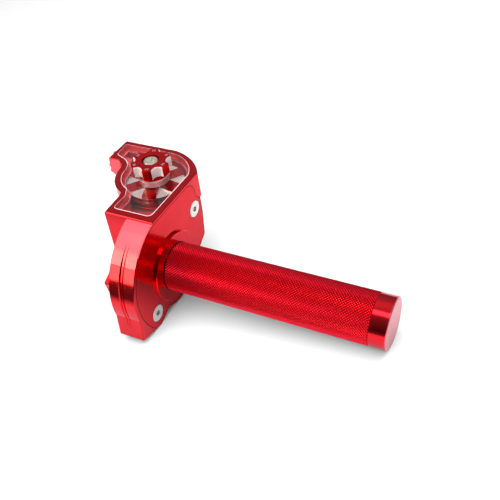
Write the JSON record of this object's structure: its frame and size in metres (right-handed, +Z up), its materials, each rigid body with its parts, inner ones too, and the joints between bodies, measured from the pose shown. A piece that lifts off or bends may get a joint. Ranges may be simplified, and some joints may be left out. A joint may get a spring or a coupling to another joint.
{
  "type": "throttle grip",
  "caption": "Knurled twist grip with a cable cam in a clamp-on housing, with a clear window over the cable pulley and a lobed adjuster knob.",
  "frame": {"origin": "on the bar axis, in the middle of the bar clamp's length", "axes": "+X along the bar to the grip's closed end, +Z up to the window, +Y forwards away from the rider"},
  "size_m": [0.1887, 0.0935, 0.073],
  "materials": {
    "red_anodised": "satin red anodised aluminium, machined edges",
    "red_anodised_cover": "satin red anodised aluminium, fine turned face",
    "red_anodised_knob": "gloss red anodised aluminium with bare machined scallops",
    "red_anodised_cap": "polished red anodised aluminium",
    "red_knurl": "red anodised aluminium, fine diamond knurl",
    "screw_steel": "bright zinc-plated steel, satin",
    "ground_steel": "ground bearing steel",
    "spring_steel": "blued spring steel",
    "cage_polymer": "moulded nylon",
    "clear_window": "clear acrylic, polished edges",
    "seal_rubber": "black nitrile rubber",
    "gasket_silicone": "translucent red silicone",
    "neck_polymer": "translucent acetal",
    "bush_polymer": "black acetal, turned",
    "bare_aluminium": "turned bare aluminium",
    "black_anodised": "black anodised aluminium"
  },
  "bodies": {
    "housing": {"housing_body": "red_anodised", "side_cover": "red_anodised_cover", "cover_screws": "screw_steel", "cover_dowels": "ground_steel", "clamp_cap": "red_anodised", "clamp_screws": "screw_steel", "window_plate": "clear_window", "window_gasket": "gasket_silicone", "neck_bush": "neck_polymer", "knob_screw": "screw_steel", "axle_post": "ground_steel", "post_nut": "screw_steel", "tube_bush": "bush_polymer", "thrust_washer": "bush_polymer", "adjuster_lock_ring": "red_anodised"},
    "twist_grip": {"throttle_tube": "bare_aluminium", "cable_cam": "black_anodised", "cam_screws": "screw_steel", "grip_sleeve": "red_knurl", "end_cap": "red_anodised_cap", "end_cap_o_ring": "seal_rubber"},
    "knob": {"star_knob": "red_anodised_knob", "eccentric_hub": "red_anodised_knob", "bearing_inner_race": "ground_steel", "retaining_ring": "spring_steel"},
    "pulley": {"deflection_pulley": "red_anodised_knob", "bearing_outer_race": "ground_steel", "bearing_balls": "ground_steel", "bearing_cage": "cage_polymer"},
    "adjuster": {"cable_adjuster": "red_anodised"}
  },
  "joints": [
    {"name": "throttle_twist", "type": "hinge", "parent": "housing", "child": "twist_grip", "pos_m": [0, 0, 0], "axis": [1, 0, 0], "range_deg": [0, 72]},
    {"name": "knob_turn", "type": "hinge", "parent": "housing", "child": "knob", "pos_m": [-0.0005, 0.0286, 0], "axis": [0, 0, 1], "range_deg": [0, 300]},
    {"name": "pulley_spin", "type": "hinge", "parent": "knob", "child": "pulley", "pos_m": [-0.0005, 0.0278, 0], "axis": [0, 0, 1], "range_deg": [-136, 0]},
    {"name": "adjuster_travel", "type": "slide", "parent": "housing", "child": "adjuster", "axis": [-1, 0, 0], "range_m": [0, 0.005]}
  ],
  "couplings": [
    {"joint": "pulley_spin", "follows": "throttle_twist", "ratio": -1.871}
  ]
}
